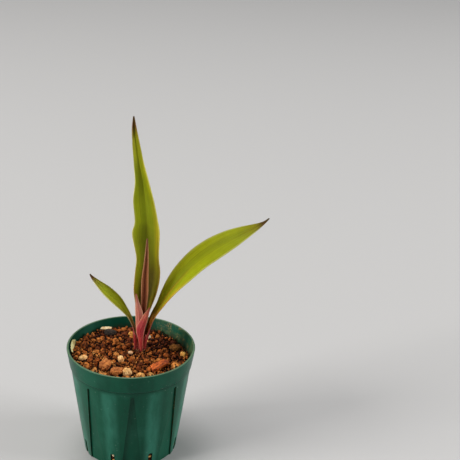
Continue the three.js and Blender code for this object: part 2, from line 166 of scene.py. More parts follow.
def smooth_below(piece, degrees):
    """Shades the piece smooth, but for edges sharper than this angle."""
    pick_up(piece)
    bpy.ops.object.shade_smooth_by_angle(angle=math.radians(degrees))


def turn_faces_out(piece):
    pick_up(piece)
    bpy.ops.object.mode_set(mode="EDIT")
    bpy.ops.mesh.select_all(action="SELECT")
    bpy.ops.mesh.normals_make_consistent(inside=False)
    bpy.ops.object.mode_set(mode="OBJECT")


def raised_in_rings(name, rings, sides):
    """A round body drawn up from a disc, ring by ring, through (radius, height) pairs."""
    nothing_selected()
    (radius, height), *others = rings
    bpy.ops.mesh.primitive_circle_add(
        vertices=sides, radius=radius, fill_type="NGON", location=(0, 0, height)
    )
    piece = made(name)
    bpy.ops.object.mode_set(mode="EDIT")
    bpy.ops.mesh.select_all(action="SELECT")
    for next_radius, next_height in others:
        bpy.ops.mesh.extrude_region_move(
            TRANSFORM_OT_translate={"value": (0, 0, next_height - height)}
        )
        scale = next_radius / radius
        bpy.ops.transform.resize(value=(scale, scale, 1), center_override=(0, 0, 0))
        radius, height = next_radius, next_height
    bpy.ops.object.mode_set(mode="OBJECT")
    apply_place(piece)
    turn_faces_out(piece)
    return piece


def wall_radius(height):
    return FOOT_RADIUS + (SHOULDER_RADIUS - FOOT_RADIUS) * height / SHOULDER_HEIGHT


def cut_away(piece, cutter):
    finish_with(piece, "BOOLEAN", operation="DIFFERENCE", object=cutter, solver="EXACT")
    bpy.data.objects.remove(cutter)


def panel_cutter(angle):
    """A wedge that leaves one flat upright triangle, narrow at the top."""
    nothing_selected()
    bpy.ops.mesh.primitive_cube_add(size=1)
    wedge = made("panel_cutter")
    apex_height = SHOULDER_HEIGHT - PANEL_DROP
    foot_depth = (FOOT_RADIUS - PANEL_DEPTH) * math.cos(PANEL_HALF_ANGLE)
    for corner in wedge.data.vertices:
        side, front, top = (value > 0 for value in corner.co)
        width = PANEL_TOP_HALF_WIDTH if top else FOOT_RADIUS * math.sin(PANEL_HALF_ANGLE)
        depth = wall_radius(apex_height) - PANEL_DEPTH if top else foot_depth
        corner.co = (
            width if side else -width,
            -depth if front else -depth - CUT_PAST,
            apex_height if top else -MM,
        )
    wedge.data.transform(Matrix.Rotation(angle, 4, "Z"))
    return wedge


def slit_cutter(angle):
    nothing_selected()
    bpy.ops.mesh.primitive_cube_add(size=1)
    box = made("slit_cutter")
    reach = SLIT_REACH + CUT_PAST
    box.scale = (SLIT_WIDTH, reach, SLIT_HEIGHT + CUT_PAST)
    box.location = (0, -(FOOT_RADIUS - SLIT_REACH + reach / 2), (SLIT_HEIGHT - CUT_PAST) / 2)
    apply_place(box)
    finish_with(box, "BEVEL", width=SLIT_ROUNDING, segments=3)
    box.data.transform(Matrix.Rotation(angle, 4, "Z"))
    return box


outside = [
    (FOOT_RADIUS - 0.8 * MM, 0),
    (FOOT_RADIUS - 0.25 * MM, 0.22 * MM),
    (FOOT_RADIUS, 0.8 * MM),
    (wall_radius(27 * MM), 27 * MM),
    (SHOULDER_RADIUS, SHOULDER_HEIGHT - 0.1 * MM),
    (SHOULDER_RADIUS + COLLAR_STEP * 0.5, SHOULDER_HEIGHT + 0.12 * MM),
    (SHOULDER_RADIUS + COLLAR_STEP, SHOULDER_HEIGHT + 0.55 * MM),
    (RIM_RADIUS - 0.55 * MM, POT_HEIGHT - 4 * MM),
    (RIM_RADIUS - 0.06 * MM, POT_HEIGHT - 0.75 * MM),
    (RIM_RADIUS, POT_HEIGHT - 0.45 * MM),
    (RIM_RADIUS - 0.12 * MM, POT_HEIGHT - 0.13 * MM),
    (RIM_RADIUS - 0.42 * MM, POT_HEIGHT),
]
inside = [
    (RIM_RADIUS - WALL + 0.3 * MM, POT_HEIGHT),
    (RIM_RADIUS - WALL + 0.08 * MM, POT_HEIGHT - 0.12 * MM),
    (RIM_RADIUS - WALL, POT_HEIGHT - 0.4 * MM),
    (SHOULDER_RADIUS + COLLAR_STEP - WALL, SHOULDER_HEIGHT + MM),
    (SHOULDER_RADIUS - WALL, SHOULDER_HEIGHT),
    (FOOT_RADIUS - WALL, FLOOR_THICKNESS),
]
pot = raised_in_rings("pot_moulding", outside + inside, POT_SIDES)
for turn in range(PANEL_COUNT):
    cut_away(pot, panel_cutter(2 * math.pi * turn / PANEL_COUNT))
for turn in range(PANEL_COUNT):
    cut_away(pot, slit_cutter(2 * math.pi * (turn + 0.5) / PANEL_COUNT))
smooth_below(pot, 20)


def paint(code):
    """A colour as it is seen, six hexadecimal digits, in the renderer's linear values."""
    seen = [int(code[i:i + 2], 16) / 255 for i in (0, 2, 4)]
    return tuple(v / 12.92 if v <= 0.04045 else ((v + 0.055) / 1.055) ** 2.4 for v in seen) + (1,)


def node(tree, kind, inputs=None, **settings):
    """Adds a shader node, sets it and links or fills its inputs."""
    added = tree.nodes.new("ShaderNode" + kind)
    for setting, value in settings.items():
        setattr(added, setting, value)
    for socket, value in (inputs or {}).items():
        if isinstance(value, bpy.types.NodeSocket):
            tree.links.new(value, added.inputs[socket])
        else:
            added.inputs[socket].default_value = value
    return added


def object_place(tree):
    return node(tree, "TexCoord").outputs["Object"]


def blend(tree, mask, first, second):
    """Two colours or colour sockets, mixed by a mask."""
    return node(tree, "MixRGB", {"Fac": mask, "Color1": first, "Color2": second}).outputs["Color"]


def times(tree, value, factor):
    return node(tree, "Math", {0: value, 1: factor}, operation="MULTIPLY").outputs[0]


def axis_of(tree, place, axis):
    return node(tree, "SeparateXYZ", {0: place}).outputs[axis]


def spread(tree, value, low, high, easing="LINEAR"):
    """Stretches what lies between low and high over 0 to 1."""
    span = {"Value": value, "From Min": low, "From Max": high}
    return node(tree, "MapRange", span, interpolation_type=easing).outputs[0]


def tinted(tree, colour, mask, share, code):
    """Lays another colour over this one where the mask is, by its share."""
    return blend(tree, times(tree, mask, share), colour, paint(code))


def ramp(tree, value, stops):
    """A colour that runs through (place, colour) stops."""
    added = node(tree, "ValToRGB", {"Fac": value})
    elements = added.color_ramp.elements
    while len(elements) < len(stops):
        elements.new(0.5)
    for element, (place, colour) in zip(elements, stops):
        element.position = place
        element.color = colour
    return added.outputs["Color"]


def effect(name, inputs, outputs, build):
    """A shader node group with named sockets, filled by build(tree, inputs)."""
    tree = bpy.data.node_groups.new(name, "ShaderNodeTree")
    for socket, (kind, value) in inputs.items():
        made_socket = tree.interface.new_socket(socket, in_out="INPUT", socket_type=kind)
        if value is not None:
            made_socket.default_value = value
    for socket, kind in outputs.items():
        tree.interface.new_socket(socket, in_out="OUTPUT", socket_type=kind)
    entry = tree.nodes.new("NodeGroupInput")
    end = tree.nodes.new("NodeGroupOutput")
    for socket, value in build(tree, entry.outputs).items():
        tree.links.new(value, end.inputs[socket])
    return tree


def use(tree, group, inputs):
    return node(tree, "Group", inputs, node_tree=group)


FLOAT = "NodeSocketFloat"
VECTOR = "NodeSocketVector"


def cloud_noise(tree, place, scale, detail, roughness=0.5):
    texture = {"Vector": place, "Scale": scale, "Detail": detail, "Roughness": roughness}
    return node(tree, "TexNoise", texture).outputs["Fac"]


def blotch_nodes(tree, given):
    cloud = cloud_noise(tree, given["Place"], given["Scale"], 6.0, 0.6)
    return {"Mask": spread(tree, cloud, given["Low"], given["High"], "SMOOTHSTEP")}


blotches = effect(
    "blotches",
    {"Place": (VECTOR, None), "Scale": (FLOAT, 100.0), "Low": (FLOAT, 0.45), "High": (FLOAT, 0.6)},
    {"Mask": FLOAT},
    blotch_nodes,
)


def blotch_mask(tree, place, scale, low, high):
    given = {"Place": place, "Scale": scale, "Low": low, "High": high}
    return use(tree, blotches, given).outputs["Mask"]


def grain_nodes(tree, given):
    cloud = cloud_noise(tree, given["Place"], given["Scale"], 8.0, 0.65)
    bump = {"Height": cloud, "Strength": given["Strength"], "Distance": given["Depth"]}
    return {"Normal": node(tree, "Bump", bump).outputs["Normal"]}


surface_grain = effect(
    "surface_grain",
    {
        "Place": (VECTOR, None),
        "Scale": (FLOAT, 900.0),
        "Strength": (FLOAT, 0.5),
        "Depth": (FLOAT, 0.2 * MM),
    },
    {"Normal": VECTOR},
    grain_nodes,
)


def grained(tree, place, scale, strength, depth=0.2 * MM):
    given = {"Place": place, "Scale": scale, "Strength": strength, "Depth": depth}
    return use(tree, surface_grain, given).outputs["Normal"]


def cell_distance(tree, place, scale):
    return node(tree, "TexVoronoi", {"Vector": place, "Scale": scale}).outputs["Distance"]


def speck_nodes(tree, given):
    cells = cell_distance(tree, given["Place"], given["Scale"])
    near = spread(tree, cells, given["Size"], 0.0)
    patch = spread(tree, cloud_noise(tree, given["Place"], 180.0, 3.0), 0.5, 0.66)
    return {"Mask": times(tree, near, patch)}


specks = effect(
    "specks",
    {"Place": (VECTOR, None), "Scale": (FLOAT, 700.0), "Size": (FLOAT, 0.25)},
    {"Mask": FLOAT},
    speck_nodes,
)


def speck_mask(tree, place, scale, size):
    return use(tree, specks, {"Place": place, "Scale": scale, "Size": size}).outputs["Mask"]


def new_material(name):
    material = bpy.data.materials.new(name)
    material.use_nodes = True
    tree = material.node_tree
    return material, tree, tree.nodes["Principled BSDF"]


def set_shader(tree, shader, **values):
    """Links or sets sockets of the shader: base_color, roughness and so on."""
    for name, value in values.items():
        socket = shader.inputs[name.replace("_", " ").title().replace("Ior", "IOR")]
        if isinstance(value, bpy.types.NodeSocket):
            tree.links.new(value, socket)
        else:
            socket.default_value = value


def height_mask(tree, place, low, high):
    return spread(tree, axis_of(tree, place, "Z"), low, high)


def grey(value):
    return (value, value, value, 1)


def drawn_out(tree, place, height_scale):
    """The place in a pattern that is stretched up and down."""
    return node(tree, "Mapping", {"Vector": place, "Scale": (1, 1, height_scale)}).outputs[0]


def green_plastic(name):
    """Dark green moulded plastic with faint streaks, a bloom of dust and a few specks of lime."""
    material, tree, shader = new_material(name)
    place = object_place(tree)
    streaks = blotch_mask(tree, drawn_out(tree, place, 0.22), 120.0, 0.35, 0.7)
    dust = blotch_mask(tree, place, 60.0, 0.48, 0.8)
    colour = blend(tree, streaks, paint("053f2d"), paint("0a4a36"))
    colour = tinted(tree, colour, dust, 0.2, "3f7a68")
    colour = tinted(tree, colour, speck_mask(tree, place, 420.0, 0.2), 0.4, "93b3a2")
    rough = ramp(tree, dust, [(0, grey(0.34)), (1, grey(0.55))])
    normal = grained(tree, place, 260.0, 0.35)
    set_shader(tree, shader, roughness=rough, normal=normal, specular_ior_level=0.14)
    return material, tree, shader, place, colour


def lip_painted_highlight(tree, place, colour):
    # Painted highlight: the top edge of the lip tinted paler, where light catches it.
    lip = height_mask(tree, place, POT_HEIGHT - 0.3 * MM, POT_HEIGHT - 0.05 * MM)
    return tinted(tree, colour, lip, 0.3, "9fb58e")


def painted_sheen_faces(tree, place):
    """A mask for painted sheen on the proud parts of the wall, halfway between the panels,
    broken up unevenly.
    """
    axes = node(tree, "SeparateXYZ", {0: place})
    turn = node(tree, "Math", {0: axes.outputs["X"], 1: axes.outputs["Y"]}, operation="ARCTAN2")
    wave = node(tree, "Math", {0: times(tree, turn.outputs[0], PANEL_COUNT)}, operation="COSINE")
    proud = spread(tree, wave.outputs[0], -0.1, -1.0, "SMOOTHSTEP")
    sheen_patches = blotch_mask(tree, drawn_out(tree, place, 0.3), 90.0, 0.2, 0.75)
    below_collar = height_mask(tree, place, SHOULDER_HEIGHT, SHOULDER_HEIGHT - 3 * MM)
    return times(tree, times(tree, proud, sheen_patches), below_collar)


def pot_outside():
    """Outside, a painted sheen pales the proud faces, a painted highlight pales the lip and a
    painted shadow darkens the groove under the collar."""
    material, tree, shader, place, colour = green_plastic("pot_outside")
    # Painted sheen: the proud faces between the panels tinted paler green.
    colour = tinted(tree, colour, painted_sheen_faces(tree, place), 0.46, "438f79")
    # Painted shadow under the collar: darkest just below the step, fading over 3.2 mm downwards.
    collar_shadow = height_mask(tree, place, SHOULDER_HEIGHT - 3.2 * MM, SHOULDER_HEIGHT)
    above = height_mask(tree, place, SHOULDER_HEIGHT + 0.35 * MM, SHOULDER_HEIGHT)
    collar_shadow = times(tree, times(tree, collar_shadow, collar_shadow), above)
    colour = tinted(tree, colour, collar_shadow, 0.6, "042a1e")
    set_shader(tree, shader, base_color=lip_painted_highlight(tree, place, colour))
    return material


def pot_inside():
    """Inside, damp stains the wall brown at the soil, and algae and splashed grit cling to its
    right."""
    material, tree, shader, place, colour = green_plastic("pot_inside")
    right_side = spread(tree, axis_of(tree, place, "X"), 8 * MM, 26 * MM)
    algae = blotch_mask(tree, place, 210.0, 0.42, 0.62)
    colour = tinted(tree, colour, times(tree, algae, right_side), 0.42, "55683c")
    grit = speck_mask(tree, place, 800.0, 0.6)
    colour = tinted(tree, colour, times(tree, grit, right_side), 0.7, "b88c58")
    low = height_mask(tree, place, SOIL_LEVEL + 2.5 * MM, SOIL_LEVEL - 1.5 * MM)
    damp = blotch_mask(tree, place, 320.0, 0.35, 0.6)
    colour = tinted(tree, colour, times(tree, low, damp), 0.7, "3d2c16")
    set_shader(tree, shader, base_color=lip_painted_highlight(tree, place, colour))
    return material


pot.data.materials.append(pot_outside())
pot.data.materials.append(pot_inside())
for face in pot.data.polygons:
    inward = face.normal.x * face.center.x + face.normal.y * face.center.y < 0
    face.material_index = int(inward and face.center.z > FLOOR_THICKNESS)
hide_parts("pot")
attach(pot, "root")

# The soil. A gritty mix of baked clay crumbs, poured in to below the lip, falls to the right.
# A bed of damp clay, darkened to near black as painted shade for the gaps between the crumbs,
# carries loose crumbs of three sizes, laid from large to small. A few pale bits catch the eye,
# and grains look out of the drain slits.
SOIL_FALL = 0.06
HOLLOW = {"x": 30 * MM, "y": 12 * MM, "radius": 9 * MM, "depth": 1.4 * MM}
CROWN = Vector((5.3, 6.5, 0)) * MM
CROWN_ROOM = 3 * MM
PALEST_CLAY = 0.9
FRONT_LEFT_SHARE = 0.36
FRONT_LEFT_REACH = 60 * MM
SOIL_REACH = 34 * MM
LUMP_SWELL = 1.14
BED_FROM = 54 * MM
BED_DROP = 1.5 * MM
BED_WOBBLE = 0.5 * MM
stone_nodes = (
    "pumice_front", "pumice_middle", "pumice_left", "pumice_crown", "pumice_right",
    "ochre_stone", "dark_stone", "clay_lump_left", "clay_lump_front", "clay_lump_right",
)


def soil_height(x, y):
    away = math.hypot(x - HOLLOW["x"], y - HOLLOW["y"]) / HOLLOW["radius"]
    return SOIL_LEVEL - SOIL_FALL * x - HOLLOW["depth"] * math.exp(-away * away)


def copy_of_node(name, cad_node):
    """A merged copy of a CAD node's mesh, to be refined."""
    nothing_selected()
    piece = in_scene(name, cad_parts[cad_node].data.copy())
    piece.data.name = name
    piece.data.materials.clear()
    pick_up(piece)
    bpy.ops.object.mode_set(mode="EDIT")
    bpy.ops.mesh.select_all(action="SELECT")
    bpy.ops.mesh.remove_doubles(threshold=0.02 * MM)
    bpy.ops.mesh.normals_make_consistent(inside=False)
    bpy.ops.object.mode_set(mode="OBJECT")
    return piece


def footprint(cad_node):
    low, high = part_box(cad_node)
    middle = (low + high) / 2
    return middle.x, middle.y, max(high.x - low.x, high.y - low.y) / 2


def clear_of(x, y, radius, taken, closeness):
    return all(math.hypot(x - tx, y - ty) > (radius + tr) * closeness for tx, ty, tr in taken)


def scatter(rng, count, radii, taken, closeness, reach=SOIL_REACH):
    """Places for crumbs of one size: tried at random, and kept where there is room."""
    kept = []
    for _ in range(count):
        radius = rng.uniform(*radii)
        away = (reach - radius) * math.sqrt(rng.random())
        angle = rng.uniform(0, 2 * math.pi)
        x, y = away * math.cos(angle), away * math.sin(angle)
        if clear_of(x, y, radius, taken, closeness):
            taken.append((x, y, radius))
            kept.append((x, y, radius))
    return kept


def any_way(rng):
    return Vector([rng.gauss(0, 1) for _ in range(3)])


def crumb_shapes(rng, subdivisions, count=6):
    """A few crumbs of about unit radius: balls with their sides knocked nearly flat."""
    shapes = []
    for _ in range(count):
        nothing_selected()
        bpy.ops.mesh.primitive_ico_sphere_add(subdivisions=subdivisions, radius=1)
        ball = made("crumb")
        corners = np.array([v.co for v in ball.data.vertices])
        for _ in range(7):
            facing = any_way(rng).normalized()
            flat_from = rng.uniform(0.55, 0.8)
            past = np.maximum(corners @ np.array(facing) - flat_from, 0)
            corners -= np.outer(past, facing) * 0.92
        swell = np.array([rng.uniform(0.86, 1.16) for _ in corners])
        corners *= swell[:, None] ** 0.5
        faces = [tuple(face.vertices) for face in ball.data.polygons]
        shapes.append((corners, faces))
        bpy.data.objects.remove(ball)
    return shapes


def crumb_pile(name, rng, shapes, places):
    """One mesh of crumbs. `places` are (x, y, z, radius, tint), and a tint is a face attribute."""
    points, faces, tints = [], [], []
    for x, y, z, radius, tint in places:
        corners, shape_faces = rng.choice(shapes)
        turn = Matrix.Rotation(rng.uniform(0, 6.28), 3, any_way(rng))
        stretch = [rng.uniform(*span) for span in ((0.85, 1.25), (0.85, 1.15), (0.7, 1.0))]
        laid = (corners * np.array(stretch)) @ np.array(turn).T * radius
        shift = len(points)
        points.extend(map(tuple, laid + np.array((x, y, z))))
        faces.extend(tuple(corner + shift for corner in face) for face in shape_faces)
        tints.extend([tint] * len(shape_faces))
    mesh = bpy.data.meshes.new(name)
    mesh.from_pydata(points, [], faces)
    mesh.attributes.new("tint", "FLOAT", "FACE").data.foreach_set("value", tints)
    return in_scene(name, mesh)


def clay_crumb(name, stops):
    """Baked clay: each crumb has its own tint, dark pits and a little pale dust."""
    material, tree, shader = new_material(name)
    place = object_place(tree)
    tint = node(tree, "Attribute", attribute_name="tint").outputs["Fac"]
    colour = ramp(tree, tint, [(at, paint(code)) for at, code in stops])
    colour = blend(tree, blotch_mask(tree, place, 620.0, 0.35, 0.6), paint("220a02"), colour)
    colour = tinted(tree, colour, blotch_mask(tree, place, 1500.0, 0.55, 0.8), 0.25, "dc9a54")
    normal = grained(tree, place, 1400.0, 0.9, 0.25 * MM)
    set_shader(
        tree, shader, base_color=colour, roughness=0.85, normal=normal, specular_ior_level=0.2
    )
    return material


bed = copy_of_node("soil_bed", "soil")
for point in bed.data.vertices:
    if point.co.z > BED_FROM:
        wobble = noise.noise(point.co * 420) * BED_WOBBLE
        point.co.z = soil_height(point.co.x, point.co.y) - BED_DROP + wobble
# Near-black brown: damp clay and painted shade for the gaps between the crumbs.
bed.data.materials.append(clay_crumb("damp_clay_and_gap_shade", [(0.0, "1c0a02"), (1.0, "2a1004")]))
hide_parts("soil")
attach(bed, "root")

crumb_random = random.Random(17)
taken = [footprint(stone) for stone in stone_nodes]
taken.append((CROWN.x, CROWN.y, CROWN_ROOM))
# Lumps where the eye falls first: x, y and radius, in millimetres.
front_lumps = [
    (-25.5, -15.5, 2.3), (-21.5, -19.5, 2.6), (4.6, -24.5, 2.7), (10.4, -24.0, 2.4),
    (25.5, -12.5, 3.0), (-8.4, -1.2, 1.9), (-30.5, -1.0, 2.1), (-16.5, -24.0, 2.3),
    (21.0, -20.5, 2.2), (28.5, -6.0, 2.0), (-19.5, -6.5, 2.0), (-2.6, -14.6, 1.9),
    (9.4, -17.2, 2.1), (-26.5, 8.5, 2.2), (15.5, -4.6, 1.9),
]
front_lumps = [(x * MM, y * MM, radius * LUMP_SWELL * MM) for x, y, radius in front_lumps]
taken.extend(front_lumps)
lumps = front_lumps + scatter(crumb_random, 260, (1.5 * MM, 2.1 * MM), taken, 0.9)
crumbs = scatter(crumb_random, 3600, (0.85 * MM, 1.35 * MM), taken, 0.9)
grit = scatter(crumb_random, 7000, (0.4 * MM, 0.65 * MM), taken, 0.86)


def laid_on_soil(rng, places, low, high):
    """Sets crumbs at their heights. Their tints run lighter at the front left and darker at the
    back right.
    """
    laid = []
    for x, y, radius in places:
        z = soil_height(x, y) + radius * rng.uniform(low, high)
        toward_front_left = min(max(0.5 - (y + x / 2) / FRONT_LEFT_REACH, 0), 1)
        tint = PALEST_CLAY * ((1 - FRONT_LEFT_SHARE) * rng.random() + FRONT_LEFT_SHARE * toward_front_left)
        laid.append((x, y, z, radius, tint))
    return laid


# Small bits that catch the eye: x, y, height above the soil and radius in millimetres, and tint.
pale_bits = [(11.2, 20.0, 0.9, 1.2, 1.0), (9.6, 15.4, 0.5, 1.2, 0.86), (24.6, -14.6, 0.6, 1.3, 0.9)]
# Grains that show in the two front slits: slit, height, radius and tint. The rest are mixed.
slit_grains = [(7, 8.1, 1.15, 1.0), (7, 6.2, 1.2, 0.05), (0, 8.5, 1.1, 0.0), (0, 6.7, 1.2, 0.9)]
FRONT_SLITS = (0, 7)
BELOW_THE_GRAINS = (2.5, 4.5)
UP_A_SLIT = (2.4, 4.4, 6.4, 8.3)
BEHIND_WALL = 0.25 * MM


def on_soil(x, y, up, radius, tint):
    x, y = x * MM, y * MM
    return x, y, soil_height(x, y) + up * MM, radius * MM, tint


def in_slit(slit, height, radius, tint):
    """A grain that looks out of a slit, seated against the inner face of the wall."""
    angle = 2 * math.pi * (slit + 0.5) / PANEL_COUNT
    away = wall_radius(height * MM) - WALL - BEHIND_WALL
    return away * math.sin(angle), -away * math.cos(angle), height * MM, radius * MM, tint


round_shapes = crumb_shapes(crumb_random, 2)
small_shapes = crumb_shapes(crumb_random, 1)
bits = [on_soil(*bit) for bit in pale_bits] + [in_slit(*grain) for grain in slit_grains]
for slit in range(PANEL_COUNT):
    for height in BELOW_THE_GRAINS if slit in FRONT_SLITS else UP_A_SLIT:
        bits.append(in_slit(slit, height, crumb_random.uniform(1.0, 1.2), crumb_random.random()))
piles = [
    ("soil_lumps", round_shapes, laid_on_soil(crumb_random, lumps, -0.6, 0.1)),
    ("soil_crumbs", round_shapes, laid_on_soil(crumb_random, crumbs, -1.1, 0.45)),
    ("soil_grit", small_shapes, laid_on_soil(crumb_random, grit, -1.6, 0.4)),
    ("soil_bits", round_shapes, bits),
]
brown_stops = [
    (0.0, "2c0e04"), (0.2, "682c0c"), (0.45, "b86224"), (0.7, "e08c40"), (0.9, "f8b868"),
    (1.0, "fce4b8"),
]
baked_clay = clay_crumb("baked_clay", brown_stops)
for pile_name, shapes, places in piles:
    pile = crumb_pile(pile_name, crumb_random, shapes, places)
    pile.data.materials.append(baked_clay)
    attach(pile, "root")

# The stones. Ten larger bits stand out in the mix: five of pumice, an ochre and a dark stone,
# and three lumps of clay, all half sunk in it. Each keeps its solid's form, rounded and pitted.
# Makes up for what the rounding takes off.
SWELL = 1.08


def weathered(name, cad_node, roughness, rounding=1, levels=4):
    """A copy of a stone's solid, its corners rounded, then cut up finely and roughened."""
    piece = copy_of_node(name, cad_node)
    low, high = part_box(cad_node)
    flat = levels - rounding
    finish_with(piece, "SUBSURF", levels=rounding, render_levels=rounding)
    if flat:
        finish_with(piece, "SUBSURF", subdivision_type="SIMPLE", levels=flat, render_levels=flat)
    middle = (low + high) / 2
    size = (high - low).length / 2
    for point in piece.data.vertices:
        away = (point.co - middle) * SWELL
        coarse = noise.noise(away / size * 2.2 + middle * 900)
        fine = noise.fractal(away / size * 7 + middle * 500, 0.6, 2.1, 4)
        point.co = middle + away * (1 + roughness * (0.6 * coarse + 0.5 * fine))
    bpy.ops.object.shade_smooth()
    return piece


def stone_paint(name, light, dark, pit, grain_scale):
    material, tree, shader = new_material(name)
    place = object_place(tree)
    cloud = blotch_mask(tree, place, 380.0, 0.35, 0.65)
    colour = blend(tree, cloud, paint(dark), paint(light))
    holes = spread(tree, cell_distance(tree, place, 1100.0), 0.28, 0.08)
    colour = tinted(tree, colour, holes, 0.7, pit)
    normal = grained(tree, place, grain_scale, 0.8, 0.25 * MM)
    set_shader(tree, shader, base_color=colour, roughness=0.9, normal=normal)
    return material


cream_pumice = stone_paint("cream_pumice", "ffd494", "dc9c50", "8c5420", 1700.0)
white_pumice = stone_paint("white_pumice", "f6cc9c", "d09a68", "845028", 1700.0)
ochre_paint = stone_paint("ochre_paint", "f0b85c", "c07c2c", "6a3810", 1300.0)
dark_paint = stone_paint("dark_paint", "403224", "1c130a", "0c0603", 1100.0)
clay_paint = stone_paint("clay_paint", "d0803c", "94501e", "4c2008", 1300.0)
brown_paint = stone_paint("brown_paint", "a06824", "5c3410", "281204", 1100.0)
stone_looks = {
    "pumice_front": (cream_pumice, "pumice", 0.22),
    "pumice_middle": (cream_pumice, "pumice", 0.22),
    "pumice_left": (cream_pumice, "pumice", 0.25),
    "pumice_crown": (white_pumice, "pumice", 0.2),
    "pumice_right": (ochre_paint, "pumice", 0.25),
    "ochre_stone": (ochre_paint, "ochre", 0.2),
    "dark_stone": (dark_paint, "dark_stone", 0.3),
    "clay_lump_left": (clay_paint, "clay", 0.3),
    "clay_lump_front": (clay_paint, "clay", 0.3),
    "clay_lump_right": (brown_paint, "clay", 0.3),
}
for cad_node, (look, slot_name, roughness) in stone_looks.items():
    piece = weathered(cad_node + "_worn", cad_node, roughness)
    piece.data.materials.append(look)
    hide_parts(cad_node)
    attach(piece, "root")

# The bark and the flakes. A split of reddish bark lies near the front, a pale flake lies at
# the back and a papery husk leans on the wall. Each is loose, flat and ragged at its edges.


def ragged(name, cad_node, grain, roughness):
    """A copy of a flake's solid, cut up finely and made uneven along its grain."""
    piece = copy_of_node(name, cad_node)
    bpy.ops.object.mode_set(mode="EDIT")
    bpy.ops.mesh.select_all(action="SELECT")
    bpy.ops.mesh.subdivide(number_cuts=5)
    bpy.ops.mesh.vertices_smooth(factor=0.5, repeat=2)
    bpy.ops.object.mode_set(mode="OBJECT")
    grain = Vector(grain).normalized()
    for point in piece.data.vertices:
        lengthwise = point.co.dot(grain)
        seen = (point.co - grain * lengthwise * 0.8) * 900
        point.co += Vector((0, 0, 1)) * noise.fractal(seen, 0.7, 2.0, 4) * roughness
        point.co += grain * noise.noise(point.co * 1300) * roughness
    smooth_below(piece, 35)
    return piece


def split_wood(name, light, dark, angle):
    """Fibres run along the piece, light and dark by turns."""
    material, tree, shader = new_material(name)
    place = object_place(tree)
    turned = {"Vector": place, "Rotation": (0, 0, -angle), "Scale": (0.15, 1, 1)}
    fibres = node(tree, "Mapping", turned, vector_type="TEXTURE").outputs[0]
    stripe = blotch_mask(tree, fibres, 300.0, 0.35, 0.62)
    colour = blend(tree, stripe, paint(dark), paint(light))
    normal = grained(tree, fibres, 700.0, 0.9, 0.3 * MM)
    set_shader(tree, shader, base_color=colour, roughness=0.8, normal=normal)
    return material


BARK_TURN = math.radians(43)
FLAKE_TURN = math.radians(24)
along_bark = (math.cos(BARK_TURN), math.sin(BARK_TURN), 0)
red_bark = split_wood("red_bark", "e06c20", "70280a", BARK_TURN)
pale_wood = split_wood("pale_wood", "f0dcb0", "c79a5c", FLAKE_TURN)
dry_husk = split_wood("dry_husk", "ece7a8", "b7a35e", 0)
flakes = {
    "bark_chip": ("bark_split", along_bark, 0.45 * MM, red_bark, "bark"),
    "pale_flake": ("flake_pale", (0.91, 0.41, 0), 0.25 * MM, pale_wood, "pumice"),
    "husk_flake": ("husk_dry", (0, 0, 1), 0.15 * MM, dry_husk, "husk"),
}
for cad_node, (name, grain, roughness, look, slot_name) in flakes.items():
    piece = ragged(name, cad_node, grain, roughness)
    piece.data.materials.append(look)
    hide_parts(cad_node)
    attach(piece, "root")

# The leaves. Each is a channelled blade that grows from the crown, thin and leathery, green
# above and wine red below, with fine veins along it. The blades of the stalked leaves arch
# away, and the young middle leaf is still folded.
CREASE_DEPTH = 0.35
CREASE_WIDTH = 0.16
NARROWEST = 0.16
FLATTEST = 3
BLADE = 0.42 * MM
# A row is out, up, left and right half widths, half angle of the channel and twist, in
# millimetres and degrees.
tall_leaf = {
    "heading": -7.5, "right_margin": -7.5, "foot": 2.6, "lean": 0.087, "wave": (0.7, 4.5),
    "rows": [
        (-0.4, 60.8, 3.1, 3.1, 95, 0), (-0.1, 70.0, 3.7, 3.7, 88, 0), (0.5, 77.5, 4.2, 4.2, 75, 0),
        (1.5, 84.0, 4.8, 4.8, 60, 0), (2.5, 95.0, 7.1, 7.3, 45, 0), (3.4, 105.8, 7.5, 8.0, 40, 0),
        (3.5, 115.6, 7.0, 6.7, 38, 0), (2.9, 129.6, 8.8, 7.4, 33, 0), (2.2, 136.8, 6.9, 6.7, 31, 0),
        (0.9, 148.6, 6.7, 5.3, 30, 0), (-0.6, 159.6, 4.2, 3.7, 28, 0),
        (-2.8, 170.0, 3.0, 2.8, 26, 0), (-4.4, 180.0, 2.3, 2.1, 24, 0),
        (-5.5, 188.0, 1.3, 1.3, 20, 0), (-6.1, 195.4, 0.3, 0.3, 12, 0),
    ],
}
spear_leaf = {
    "heading": 0, "right_margin": 0, "foot": -0.4, "lean": 0.05,
    "rows": [
        (0.6, 73.0, 1.0, 1.0, 95, 0), (1.3, 80.0, 1.5, 1.5, 85, 0), (1.8, 88.0, 2.2, 2.2, 75, 0),
        (2.2, 96.0, 2.5, 2.5, 70, 0), (2.3, 104.0, 2.3, 2.3, 66, 0), (2.9, 114.0, 1.5, 1.5, 60, 0),
        (3.2, 122.0, 0.8, 0.8, 45, 0), (3.3, 128.3, 0.3, 0.3, 20, 0),
    ],
}
